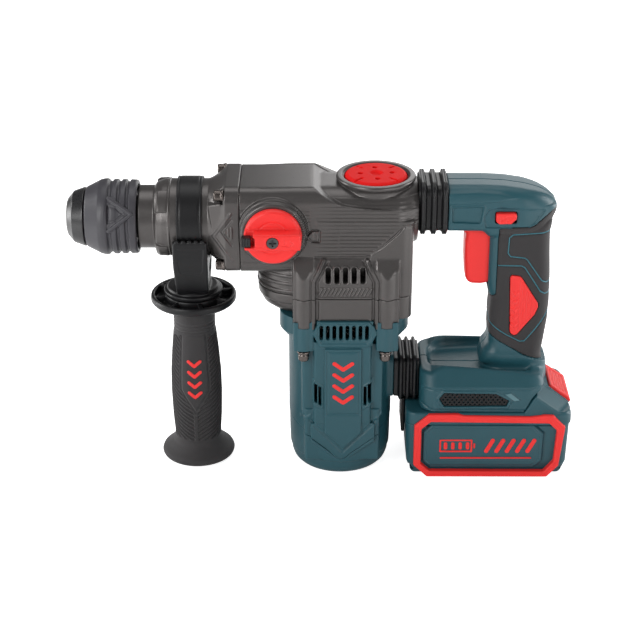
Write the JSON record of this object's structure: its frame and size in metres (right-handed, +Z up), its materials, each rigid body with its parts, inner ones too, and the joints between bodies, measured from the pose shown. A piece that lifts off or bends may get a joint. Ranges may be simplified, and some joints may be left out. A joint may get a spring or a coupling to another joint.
{
  "type": "rotary hammer",
  "caption": "L-shaped cordless rotary hammer with vertical motor, crank-driven air hammer, quick-change bit holder, sprung rear handle, side handle and slide-on battery.",
  "frame": {"origin": "centre of the motor foot, on the plane the tool stands on", "axes": "+X from the bit towards the rear handle and battery, +Y towards the operator's right when the bit points away, +Z up; the spindle axis is 193 mm above the origin"},
  "size_m": [0.3643, 0.0921, 0.226],
  "materials": {
    "cast_grey": "die-cast, satin dark grey lacquer",
    "teal_plastic": "fine spark-eroded texture",
    "black_rubber": "soft-touch, matte",
    "black_plastic": "satin",
    "red_plastic": "satin gloss",
    "red_rubber": "soft-touch",
    "steel": "ground",
    "black_steel": "phosphated, oiled",
    "gear_steel": "case hardened",
    "copper": "enamelled copper wire",
    "lamination": "stacked electrical steel",
    "board_green": "solder mask",
    "cell_wrap": "shrink sleeve",
    "seal_rubber": "matte"
  },
  "bodies": {
    "hammer_body": {"gear_case": "cast_grey", "front_housing": "cast_grey", "front_case_screws": "steel", "bearing_plate": "cast_grey", "motor_housing": "teal_plastic", "motor_end_cap": "teal_plastic", "housing_bolts": "steel", "stator_core": "lamination", "stator_windings": "copper", "hall_board": "board_green", "motor_bearings": "steel", "gearbox_bearings": "steel", "upper_bellows": "black_rubber", "lower_bellows": "black_rubber", "guide_pins": "steel", "damper_springs": "steel", "grease_cap_seal": "seal_rubber"},
    "rear_handle": {"handle_shell_left": "teal_plastic", "handle_shell_right": "teal_plastic", "handle_screws": "black_steel", "rear_grip_cover": "black_rubber", "grip_badges": "red_plastic", "base_vent_grilles": "black_plastic", "trigger_switch": "black_plastic", "control_board": "board_green"},
    "trigger": {"trigger": "red_plastic"},
    "direction_button": {"direction_button": "red_plastic"},
    "battery": {"battery_upper_case": "teal_plastic", "battery_lower_case": "teal_plastic", "battery_bumpers": "red_rubber", "battery_cells": "cell_wrap"},
    "battery_latch": {"battery_latch": "red_plastic"},
    "mode_knob": {"mode_knob": "red_plastic", "mode_knob_screw": "black_steel"},
    "mode_lock": {"mode_lock_button": "black_plastic"},
    "side_handle": {"side_handle_band": "black_steel", "side_handle_bracket": "black_plastic", "side_handle_bolt": "steel"},
    "side_grip": {"side_handle_guard": "black_plastic", "side_handle_grip": "black_rubber"},
    "crank": {"crank_shaft": "gear_steel", "crank_gear": "gear_steel"},
    "connecting_rod": {"connecting_rod": "gear_steel", "wrist_pin": "steel"},
    "intermediate": {"intermediate_gear": "gear_steel", "bevel_pinion": "gear_steel"},
    "rotor": {"rotor_shaft": "gear_steel", "rotor_core": "lamination", "cooling_fan": "black_plastic"},
    "spindle": {"spindle": "black_steel", "spindle_bevel_gear": "gear_steel", "nose_cap": "black_rubber", "chuck_spring": "steel"},
    "chuck_sleeve": {"chuck_sleeve": "black_plastic"},
    "locking_ball_a": {"locking_ball_a": "steel"},
    "locking_ball_b": {"locking_ball_b": "steel"},
    "impact_bolt": {"impact_bolt": "gear_steel"},
    "striker": {"striker": "gear_steel"},
    "piston": {"piston": "gear_steel"},
    "grease_cap": {"grease_cap": "red_plastic"}
  },
  "joints": [
    {"name": "handle_damping", "type": "slide", "parent": "hammer_body", "child": "rear_handle", "axis": [-1, 0, 0], "range_m": [0, 0.004], "stiffness_N_per_m": 30000, "deforming": ["upper_bellows", "lower_bellows", "damper_springs"]},
    {"name": "trigger_squeeze", "type": "hinge", "parent": "rear_handle", "child": "trigger", "pos_m": [0.082, 0, 0.1945], "axis": [0, -1, 0], "range_deg": [0, 8], "stiffness_Nm_per_rad": 0.6},
    {"name": "direction_select", "type": "slide", "parent": "rear_handle", "child": "direction_button", "axis": [0, 1, 0], "range_m": [-0.0025, 0.0025]},
    {"name": "battery_slide", "type": "slide", "parent": "rear_handle", "child": "battery", "axis": [1, 0, 0], "range_m": [0, 0.115]},
    {"name": "battery_latch_press", "type": "slide", "parent": "battery", "child": "battery_latch", "axis": [0, 0, -1], "range_m": [0, 0.0015], "stiffness_N_per_m": 2500},
    {"name": "mode_turn", "type": "hinge", "parent": "hammer_body", "child": "mode_knob", "pos_m": [-0.0475, 0, 0.1945], "axis": [0, 1, 0], "range_deg": [-90, 90]},
    {"name": "mode_lock_press", "type": "slide", "parent": "mode_knob", "child": "mode_lock", "axis": [1, 0, 0], "range_m": [0, 0.002], "stiffness_N_per_m": 1500},
    {"name": "side_handle_turn", "type": "hinge", "parent": "hammer_body", "child": "side_handle", "pos_m": [-0.107, 0, 0.193], "axis": [1, 0, 0], "continuous": true},
    {"name": "side_grip_twist", "type": "hinge", "parent": "side_handle", "child": "side_grip", "pos_m": [-0.107, 0, 0.127], "axis": [0, 0, 1], "continuous": true},
    {"name": "crank_spin", "type": "hinge", "parent": "hammer_body", "child": "crank", "pos_m": [0.025, 0, 0.153], "axis": [0, 0, 1], "continuous": true},
    {"name": "rod_swing", "type": "hinge", "parent": "crank", "child": "connecting_rod", "pos_m": [0.0185, 0, 0.193], "axis": [0, 0, 1], "continuous": true},
    {"name": "intermediate_spin", "type": "hinge", "parent": "hammer_body", "child": "intermediate", "pos_m": [-0.03, 0, 0.153], "axis": [0, 0, 1], "continuous": true},
    {"name": "rotor_spin", "type": "hinge", "parent": "hammer_body", "child": "rotor", "pos_m": [0, 0, 0.093], "axis": [0, 0, 1], "continuous": true},
    {"name": "spindle_spin", "type": "hinge", "parent": "hammer_body", "child": "spindle", "pos_m": [-0.1, 0, 0.193], "axis": [1, 0, 0], "continuous": true},
    {"name": "sleeve_pull", "type": "slide", "parent": "spindle", "child": "chuck_sleeve", "axis": [1, 0, 0], "range_m": [0, 0.008], "stiffness_N_per_m": 1500, "deforming": ["chuck_spring"]},
    {"name": "ball_a_release", "type": "slide", "parent": "spindle", "child": "locking_ball_a", "axis": [0, 1, 0], "range_m": [0, 0.0016]},
    {"name": "ball_b_release", "type": "slide", "parent": "spindle", "child": "locking_ball_b", "axis": [0, -1, 0], "range_m": [0, 0.0016]},
    {"name": "impact_bolt_stroke", "type": "slide", "parent": "hammer_body", "child": "impact_bolt", "axis": [-1, 0, 0], "range_m": [0, 0.004]},
    {"name": "striker_stroke", "type": "slide", "parent": "hammer_body", "child": "striker", "axis": [-1, 0, 0], "range_m": [0, 0.0077]},
    {"name": "piston_stroke", "type": "slide", "parent": "hammer_body", "child": "piston", "axis": [1, 0, 0], "range_m": [0, 0.013]},
    {"name": "cap_turn", "type": "hinge", "parent": "hammer_body", "child": "grease_cap", "pos_m": [0.0245, 0, 0.223], "axis": [0, 0, 1], "range_deg": [0, 90]}
  ],
  "couplings": [
    {"joint": "rod_swing", "follows": "crank_spin", "ratio": -1},
    {"joint": "intermediate_spin", "follows": "crank_spin", "ratio": 0.80392},
    {"joint": "rotor_spin", "follows": "crank_spin", "ratio": -4.5556},
    {"joint": "spindle_spin", "follows": "crank_spin", "ratio": -0.30147},
    {"joint": "ball_a_release", "follows": "sleeve_pull", "ratio": 0.2},
    {"joint": "ball_b_release", "follows": "sleeve_pull", "ratio": 0.2}
  ]
}
